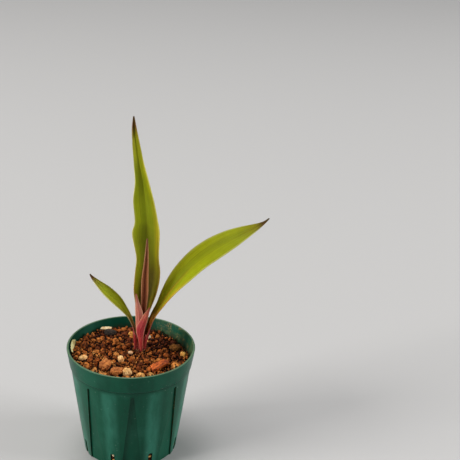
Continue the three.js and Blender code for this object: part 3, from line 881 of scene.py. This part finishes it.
right_leaf = {
    "heading": 12, "right_margin": -78, "foot": 0, "lean": 0,
    "rows": [
        (2.6, 60.8, 1.6, 1.6, 85, 0), (4.1, 65.8, 2.6, 2.6, 85, 4), (5.2, 71.2, 2.5, 2.5, 74, 8),
        (7.2, 77.6, 2.7, 2.7, 60, 14), (9.5, 82.4, 2.9, 2.9, 48, 18),
        (11.8, 86.3, 3.2, 3.4, 40, 20), (15.7, 92.6, 4.9, 5.0, 34, 20),
        (20.2, 98.5, 6.8, 6.4, 30, 20), (26.0, 104.9, 8.2, 8.1, 28, 20),
        (34.0, 112.4, 8.8, 9.1, 27, 20), (42.7, 118.4, 8.5, 9.6, 26, 20),
        (52.0, 123.5, 7.1, 8.5, 25, 20), (60.1, 127.2, 5.0, 6.0, 23, 20),
        (67.8, 130.3, 2.6, 2.8, 20, 20), (72.5, 132.8, 0.9, 1.1, 15, 20),
        (75.6, 135.2, 0.3, 0.3, 10, 20),
    ],
}
left_leaf = {
    "heading": 165, "right_margin": 75, "foot": 0, "lean": 0,
    "rows": [
        (3.3, 60.6, 1.3, 1.3, 80, 0), (3.6, 66.0, 1.5, 1.5, 75, 0), (3.9, 71.6, 1.5, 1.5, 68, -6),
        (5.1, 75.5, 1.6, 1.6, 58, -12), (6.9, 79.7, 1.9, 2.0, 48, -18),
        (10.0, 84.0, 2.8, 2.8, 38, -20), (14.2, 88.7, 4.0, 4.0, 32, -20),
        (20.0, 94.0, 3.9, 3.9, 28, -20), (25.2, 98.9, 2.3, 2.3, 22, -20),
        (28.2, 102.1, 1.1, 1.0, 15, -20), (29.8, 104.2, 0.3, 0.3, 10, -20),
    ],
}


def row_at(rows, t):
    """The row at t along the leaf, on one smooth curve through all of them, and its slope."""
    last = len(rows) - 1
    start = min(int(t * last), last - 1)
    w = t * last - start
    b, c = rows[start], rows[start + 1]
    a = rows[start - 1] if start else 2 * b - c
    d = rows[start + 2] if start + 2 <= last else 2 * c - b
    enter, leave = (c - a) / 2, (d - b) / 2
    cube = 2 * b - 2 * c + enter + leave
    square = 3 * c - 3 * b - 2 * enter - leave
    row = cube * w ** 3 + square * w ** 2 + enter * w + b
    return row, 3 * cube * w ** 2 + 2 * square * w + enter


def heading(degrees):
    return Vector((math.cos(math.radians(degrees)), math.sin(math.radians(degrees)), 0))


def leaf_point(leaf, rows, side, t):
    """The place on a blade at `side`, -1 to 1 across it, and `t` along it, in millimetres."""
    (out, up, left, right, channel, twist), slope = row_at(rows, t)
    outward, backward = heading(leaf["heading"]), heading(leaf["heading"] + 90)
    crown = CROWN / MM
    middle = Vector((crown.x, crown.y + leaf["foot"], up)) + outward * out
    middle += backward * leaf["lean"] * (up - rows[0][1])
    along = outward * slope[0] + backward * leaf["lean"] * slope[1] + Vector((0, 0, slope[1]))
    along.normalize()
    flat = heading(leaf["right_margin"])
    flat = (flat - along * flat.dot(along)).normalized()
    face = flat.cross(along)
    turn = math.radians(twist)
    across = flat * math.cos(turn) - face * math.sin(turn)
    normal = across.cross(along)
    half_angle = math.radians(max(channel, FLATTEST))
    radius = max(left if side < 0 else right, NARROWEST) / half_angle
    bend = half_angle * side
    height, turns = leaf.get("wave", (0, 0))
    lift = side * side * height * math.sin(turns * 2 * math.pi * t)
    crease = -CREASE_DEPTH * math.exp(-(side / CREASE_WIDTH) ** 2) * min(1, left / 2)
    rise = radius * (1 - math.cos(bend)) + lift + crease
    return middle + across * radius * math.sin(bend) + normal * rise


def blade(name, leaf, looks, columns=20, stations=110):
    """A leaf from a flat grid, whose UV map keeps across and along for its veins. Its two looks
    are those of its channel and of its back."""
    nothing_selected()
    bpy.ops.mesh.primitive_grid_add(x_subdivisions=columns, y_subdivisions=stations, size=1)
    piece = made(name)
    rows = np.array(leaf["rows"], float)
    for point in piece.data.vertices:
        point.co = leaf_point(leaf, rows, 2 * point.co.x, point.co.y + 0.5) * MM
    for look in looks:
        piece.data.materials.append(look)
    finish_with(
        piece, "SOLIDIFY", thickness=BLADE, offset=0, material_offset=1, material_offset_rim=0
    )
    smooth_below(piece, 50)
    return piece


def vein_nodes(tree, given):
    across = axis_of(tree, given["Leaf"], "X")
    phase = times(tree, times(tree, across, given["Count"]), 6.2832)
    wave = node(tree, "Math", {0: phase}, operation="COSINE").outputs[0]
    ridge = spread(tree, wave, -1.0, 1.0)
    from_middle = node(tree, "Math", {0: across, 1: 0.5}, operation="SUBTRACT").outputs[0]
    away = node(tree, "Math", {0: from_middle}, operation="ABSOLUTE").outputs[0]
    bump = {"Height": ridge, "Strength": given["Strength"], "Distance": given["Depth"]}
    return {
        "Ridge": ridge,
        "Middle": spread(tree, away, 0.09, 0.01),
        "Margin": spread(tree, away, given["Margin From"], 0.5),
        "Left": spread(tree, from_middle, -0.1, -0.4, "SMOOTHSTEP"),
        "Right": spread(tree, from_middle, 0.2, 0.42, "SMOOTHSTEP"),
        "Normal": node(tree, "Bump", bump).outputs["Normal"],
    }


veins = effect(
    "veins",
    {
        "Leaf": (VECTOR, None),
        "Count": (FLOAT, 22.0),
        "Margin From": (FLOAT, 0.43),
        "Strength": (FLOAT, 0.6),
        "Depth": (FLOAT, 0.12 * MM),
    },
    {**dict.fromkeys(("Ridge", "Middle", "Margin", "Left", "Right"), FLOAT), "Normal": VECTOR},
    vein_nodes,
)


def along_leaf(tree, leaf, stops):
    """A colour or a grey that runs from the foot of a leaf to its tip."""
    seen = paint if isinstance(stops[0][1], str) else grey
    return ramp(tree, axis_of(tree, leaf, "Y"), [(at, seen(value)) for at, value in stops])


# The colours of the ridges, the streaks and the clouds.
GREEN_MOTTLE = ("c8c028", "5a4e02", "4c4602")
RED_MOTTLE = ("c86c68", "6c1018", "841828")
PINK_MOTTLE = ("dca090", "7c2428", "8c3440")


def leaf_face(
    name, left, inner, right, middle, middle_share, margin, margin_share,
    mottle=GREEN_MOTTLE, vein_count=22.0, roughness=0.42, margin_from=0.43, scurf_share=0.1,
):
    """One side of a leaf. The `left`, `inner` and `right` colours run from foot to tip, its
    midrib and margins have their own, and the mottle's three colours lie over them."""
    material, tree, shader = new_material(name)
    leaf = node(tree, "TexCoord").outputs["UV"]
    place = object_place(tree)
    vein = use(tree, veins, {"Leaf": leaf, "Count": vein_count, "Margin From": margin_from})
    colour = along_leaf(tree, leaf, inner)
    colour = blend(tree, vein.outputs["Left"], colour, along_leaf(tree, leaf, left))
    colour = blend(tree, vein.outputs["Right"], colour, along_leaf(tree, leaf, right))
    ridges, streaks, clouds = mottle
    colour = tinted(tree, colour, vein.outputs["Ridge"], 0.14, ridges)
    long = node(tree, "Mapping", {"Vector": leaf, "Scale": (0.034, 0.006, 1)}).outputs[0]
    colour = tinted(tree, colour, blotch_mask(tree, long, 900.0, 0.4, 0.72), 0.42, streaks)
    colour = tinted(tree, colour, blotch_mask(tree, place, 150.0, 0.4, 0.75), 0.13, clouds)
    share = times(tree, vein.outputs["Middle"], along_leaf(tree, leaf, middle_share))
    colour = blend(tree, share, colour, along_leaf(tree, leaf, middle))
    share = times(tree, vein.outputs["Margin"], along_leaf(tree, leaf, margin_share))
    colour = blend(tree, share, colour, along_leaf(tree, leaf, margin))
    scurf = speck_mask(tree, place, 1500.0, 0.3)
    colour = tinted(tree, colour, scurf, scurf_share, "e8e2b8")
    set_shader(
        tree, shader, base_color=colour, roughness=roughness, normal=vein.outputs["Normal"],
        subsurface_weight=0.12, subsurface_radius=(0.6 * MM, 0.9 * MM, 0.2 * MM),
        specular_ior_level=0.12,
    )
    return material


def same(value):
    return [(0.0, value), (1.0, value)]


def even_face(name, stops, middle, middle_share, margin, margin_share, *rest):
    """One side of a leaf that is of one colour from margin to margin."""
    shares = same(middle), same(middle_share), same(margin), same(margin_share)
    return leaf_face(name, stops, stops, stops, *shares, *rest)


tall_left = [
    (0.0, "70240a"), (0.14, "744806"), (0.2, "7c6a04"), (0.3, "949404"), (0.5, "9aa407"),
    (0.75, "96a408"), (0.88, "a49c20"), (0.95, "6c3c1c"), (1.0, "341210"),
]
# The dark browns from 0.14 to 0.36 are painted shadow in the channel beside the spear.
tall_inner_and_shadow = [
    (0.0, "401404"), (0.14, "241400"), (0.28, "201400"), (0.36, "3c3000"), (0.46, "687001"),
    (0.6, "7c8c02"), (0.88, "8c9004"), (0.95, "5c3414"), (1.0, "341410"),
]
# The dark browns from 0.14 to 0.3 are painted shadow low on the leaf.
tall_right_and_shadow = [
    (0.0, "6a2408"), (0.14, "684000"), (0.2, "6c4e02"), (0.3, "786e02"), (0.5, "8e8402"),
    (0.68, "94980a"), (0.88, "a49c18"), (0.95, "6c3c1c"), (1.0, "341210"),
]
# The dark browns up to 0.3 are painted shadow along the midrib in the channel.
tall_middle_and_shadow = [(0.0, "3c1404"), (0.3, "342002"), (0.5, "646402"), (1.0, "747006")]
tall_share = [(0.0, 0.8), (0.3, 0.7), (0.44, 0.3), (0.7, 0.12), (1.0, 0.0)]
tall_margin = [
    (0.0, "a07038"), (0.3, "b4843c"), (0.5, "c8bc58"), (0.85, "d8d080"), (0.94, "6c4028"),
    (1.0, "341210"),
]
wine_under = [(0.0, "8c1c28"), (0.2, "92303c"), (0.5, "843040"), (0.8, "6c2c36"), (1.0, "34160f")]
leaf_under = even_face("leaf_under", wine_under, "9c4450", 0.5, "8c6a3c", 0.5, RED_MOTTLE)
tall_upper = leaf_face(
    "tall_upper", tall_left, tall_inner_and_shadow, tall_right_and_shadow, tall_middle_and_shadow, tall_share, tall_margin, same(0.6)
)
tall = blade("tall_blade", tall_leaf, (tall_upper, leaf_under))
right_upper_side = [
    (0.0, "c01414"), (0.14, "803008"), (0.22, "7c5008"), (0.32, "8c8c04"), (0.5, "a2a604"),
    (0.78, "98a008"), (0.87, "8a8418"), (0.92, "50241c"), (1.0, "280c0c"),
]
right_inner = [
    (0.0, "cc1414"), (0.14, "a83c18"), (0.22, "a0641a"), (0.32, "949006"), (0.5, "8f9a08"),
    (0.78, "828c08"), (0.87, "7c7410"), (0.92, "481f18"), (1.0, "280c0c"),
]
right_lower_side = [
    (0.0, "cc181c"), (0.14, "b44c28"), (0.22, "b46c20"), (0.34, "b47c14"), (0.44, "a88e14"),
    (0.55, "84900c"), (0.82, "7c8408"), (0.91, "50281c"), (1.0, "280c0c"),
]
right_middle = [
    (0.0, "8c1408"), (0.25, "a85c14"), (0.42, "b88018"), (0.6, "949010"), (1.0, "6c5c0c"),
]
right_share = [(0.0, 0.7), (0.3, 0.65), (0.42, 0.5), (0.56, 0.2), (1.0, 0.1)]
right_margin = [
    (0.0, "c05030"), (0.3, "cc9458"), (0.5, "d4cc70"), (0.84, "ccc880"), (0.92, "50241c"),
    (1.0, "280c0c"),
]
right_upper = leaf_face(
    "right_upper", right_upper_side, right_inner, right_lower_side, right_middle, right_share,
    right_margin, same(0.55),
)
right = blade("right_blade", right_leaf, (right_upper, leaf_under))
left_inner = [
    (0.0, "b41c18"), (0.2, "bc5438"), (0.34, "bc9450"), (0.48, "aeb21a"), (0.72, "b8c428"),
    (0.82, "a4a038"), (0.9, "602c20"), (1.0, "2c100e"),
]
left_outer = [
    (0.0, "a81814"), (0.2, "b44c30"), (0.34, "d4b068"), (0.48, "9c9e12"), (0.72, "989c17"),
    (0.82, "8c8428"), (0.9, "54241c"), (1.0, "2c100e"),
]
left_margin = [
    (0.0, "c88c68"), (0.3, "ece0a4"), (0.82, "d8d090"), (0.92, "54241c"), (1.0, "2c100e"),
]
left_upper = leaf_face(
    "left_upper", left_outer, left_inner, left_outer, same("a8ac48"), same(0.2), left_margin,
    same(0.7),
)
left = blade("left_blade", left_leaf, (left_upper, leaf_under))
spear_side = [(0.0, "6c180c"), (0.3, "804a16"), (0.6, "8c5824"), (0.85, "7c4c1c"), (1.0, "4c2010")]
spear_channel = [
    (0.0, "74200c"), (0.3, "94562c"), (0.6, "9c6030"), (0.85, "804c28"), (1.0, "4c2010"),
]
spear_upper = even_face("spear_upper", spear_channel, "8c2418", 0.85, "a87c54", 0.5, PINK_MOTTLE)
spear_under = even_face("spear_under", spear_side, "7c2414", 0.6, "b8885c", 0.6)
spear = blade("spear_blade", spear_leaf, (spear_upper, spear_under))
blades = {
    "leaf_tall": (tall, "leaf"),
    "leaf_right": (right, "leaf"),
    "leaf_left": (left, "leaf"),
    "spear": (spear, "spear"),
}
for cad_node, (piece, slot_name) in blades.items():
    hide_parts(cad_node)
    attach(piece, "root")

# The sheaths. Two short bladeless leaves clasp the crown with their backs outwards, pink to
# wine red with pale margins, and three dry scale leaves stand round its foot.
left_sheath = {
    "heading": 0, "right_margin": 180, "foot": -2.4, "lean": 0.02,
    "rows": [
        (-0.1, 60.4, 1.1, 1.1, 75, 0), (-0.3, 64.5, 1.4, 1.4, 72, 0), (-0.7, 69.2, 1.8, 1.8, 68, 0),
        (-0.8, 74.0, 2.0, 2.0, 62, 0), (-0.8, 78.5, 2.2, 2.2, 57, 0), (-0.8, 82.6, 2.3, 2.3, 50, 0),
        (-1.4, 86.6, 1.8, 1.8, 41, 0), (-2.1, 91.2, 1.0, 1.0, 30, 0), (-2.7, 96.0, 0.3, 0.3, 14, 0),
    ],
}
front_sheath = {
    "heading": 0, "right_margin": 180, "foot": -3.9, "lean": -0.02,
    "rows": [
        (0.6, 60.2, 0.6, 0.6, 68, 0), (0.4, 64.4, 1.0, 1.0, 64, 0), (0.1, 68.0, 1.6, 1.6, 61, 0),
        (-0.1, 71.4, 2.3, 2.3, 58, 0), (0.0, 74.8, 2.8, 2.8, 54, 0), (0.9, 77.6, 2.5, 2.5, 49, 0),
        (2.0, 80.6, 2.0, 2.0, 43, 0), (3.1, 83.8, 1.5, 1.5, 36, 0), (4.2, 86.6, 0.7, 0.7, 25, 0),
        (4.9, 88.6, 0.3, 0.3, 13, 0),
    ],
}
SCALE_FOOT = 60.4


def scale_leaf(right_margin, foot, aside, top, half):
    """A small leaf, whose widest place is halfway up it."""
    return {
        "heading": 0, "right_margin": right_margin, "foot": foot, "lean": 0,
        "rows": [
            (aside, SCALE_FOOT, half * 0.7, half * 0.7, 65, 0),
            (aside * 1.06, (SCALE_FOOT + top) / 2, half, half, 58, 0),
            (aside * 1.12, top - 2.4, half * 0.7, half * 0.7, 40, 0),
            (aside * 1.2, top, 0.3, 0.3, 15, 0),
        ],
    }


pink_back = [(0.0, "8c0c10"), (0.3, "b45048"), (0.6, "c87664"), (0.85, "d08c74"), (1.0, "9c5c48")]
front_back = [
    (0.0, "901410"), (0.2, "b43030"), (0.4, "a42430"), (0.6, "ac3838"), (0.8, "bc6444"),
    (1.0, "8c4434"),
]
wine_inside = [(0.0, "8c1418"), (1.0, "a04038")]
dry_back = [(0.0, "7c0608"), (0.5, "94080a"), (0.85, "a01c1c"), (1.0, "b4605a")]
sheath_inside = even_face("sheath_inside", wine_inside, "7a1414", 0.5, "d09a7c", 0.5, RED_MOTTLE)
sheaths = {
    "sheath_left": (left_sheath, pink_back, 0.75, "sheath", 24, 60),
    "sheath_front": (front_sheath, front_back, 0.45, "sheath", 24, 60),
    "scale_left": (scale_leaf(155, -2.2, -2.8, 71, 1.4), dry_back, 0.3, "scale", 10, 20),
    "scale_right": (scale_leaf(205, -2.2, 2.6, 70, 1.3), dry_back, 0.3, "scale", 10, 20),
    "scale_back": (scale_leaf(0, 4.1, -0.6, 70.5, 1.4), dry_back, 0.3, "scale", 10, 20),
}
for cad_node, (leaf, stops, pale_margin, slot_name, columns, stations) in sheaths.items():
    back = even_face(
        cad_node + "_back", stops, "a41c24", 0.3, "e8b48c", pale_margin,
        PINK_MOTTLE, 14.0, 0.55, 0.36, 0.35,
    )
    piece = blade(cad_node + "_skin", leaf, (sheath_inside, back), columns, stations)
    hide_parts(cad_node)
    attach(piece, "root")

# The crown. The short wine-red stem that the leaves stand on. It is rooted in the mix, and
# its skin is knobbly with the scars of leaves that have gone.
crown = weathered("crown_stem", "crown", 0.08, rounding=3, levels=3)
crown_red = [(0.0, "6a1414"), (1.0, "8a2020")]
crown_skin = even_face("crown_skin", crown_red, "6a1414", 0.0, "8a2020", 0.0, RED_MOTTLE)
crown.data.materials.append(crown_skin)
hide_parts("crown")
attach(crown, "root")

# The dry fibres. What is left of the first leaves frays into short brown threads that still
# hang on round the foot of the crown, a few of them bent over. Each tapers in four-sided rings.
FIBRES = 46
FIBRE_RINGS = 5
FIBRE_SIDES = 4
FIBRE_RADIUS = 0.13
FIBRE_TAPER = 0.1
fibre_random = random.Random(5)
fibre_points, fibre_faces = [], []
for _ in range(FIBRES):
    angle = fibre_random.uniform(0, 2 * math.pi)
    away = fibre_random.uniform(2.4, 3.6) * MM
    foot = CROWN + Vector((math.cos(angle), math.sin(angle), 0)) * away
    foot.z = soil_height(foot.x, foot.y) - 0.4 * MM
    length = fibre_random.uniform(1.6, 4.6) * MM
    lean = Vector((fibre_random.gauss(0, 0.45), fibre_random.gauss(0, 0.45), 1)).normalized()
    bend = Vector((fibre_random.gauss(0, 1), fibre_random.gauss(0, 1), -0.3)) * 0.25 * length
    first = len(fibre_points)
    for ring in range(FIBRE_RINGS):
        share = ring / (FIBRE_RINGS - 1)
        middle = foot + lean * length * share + bend * share * share
        radius = (FIBRE_RADIUS - FIBRE_TAPER * share) * MM
        for corner in range(FIBRE_SIDES):
            fibre_points.append(middle + heading(360 / FIBRE_SIDES * corner) * radius)
    last = len(fibre_points) - FIBRE_SIDES
    for low_ring in range(first, last, FIBRE_SIDES):
        for corner in range(FIBRE_SIDES):
            low, beside = low_ring + corner, low_ring + (corner + 1) % FIBRE_SIDES
            fibre_faces.append((low, beside, beside + FIBRE_SIDES, low + FIBRE_SIDES))
    fibre_faces.append(tuple(range(first + FIBRE_SIDES - 1, first - 1, -1)))
    fibre_faces.append(tuple(range(last, last + FIBRE_SIDES)))
fibre_mesh = bpy.data.meshes.new("dry_fibres")
fibre_mesh.from_pydata(fibre_points, [], fibre_faces)
fibres = in_scene("dry_fibres", fibre_mesh)
fibres.data.materials.append(split_wood("dry_fibre", "b88a58", "5c2c18", 0))
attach(fibres, "root")
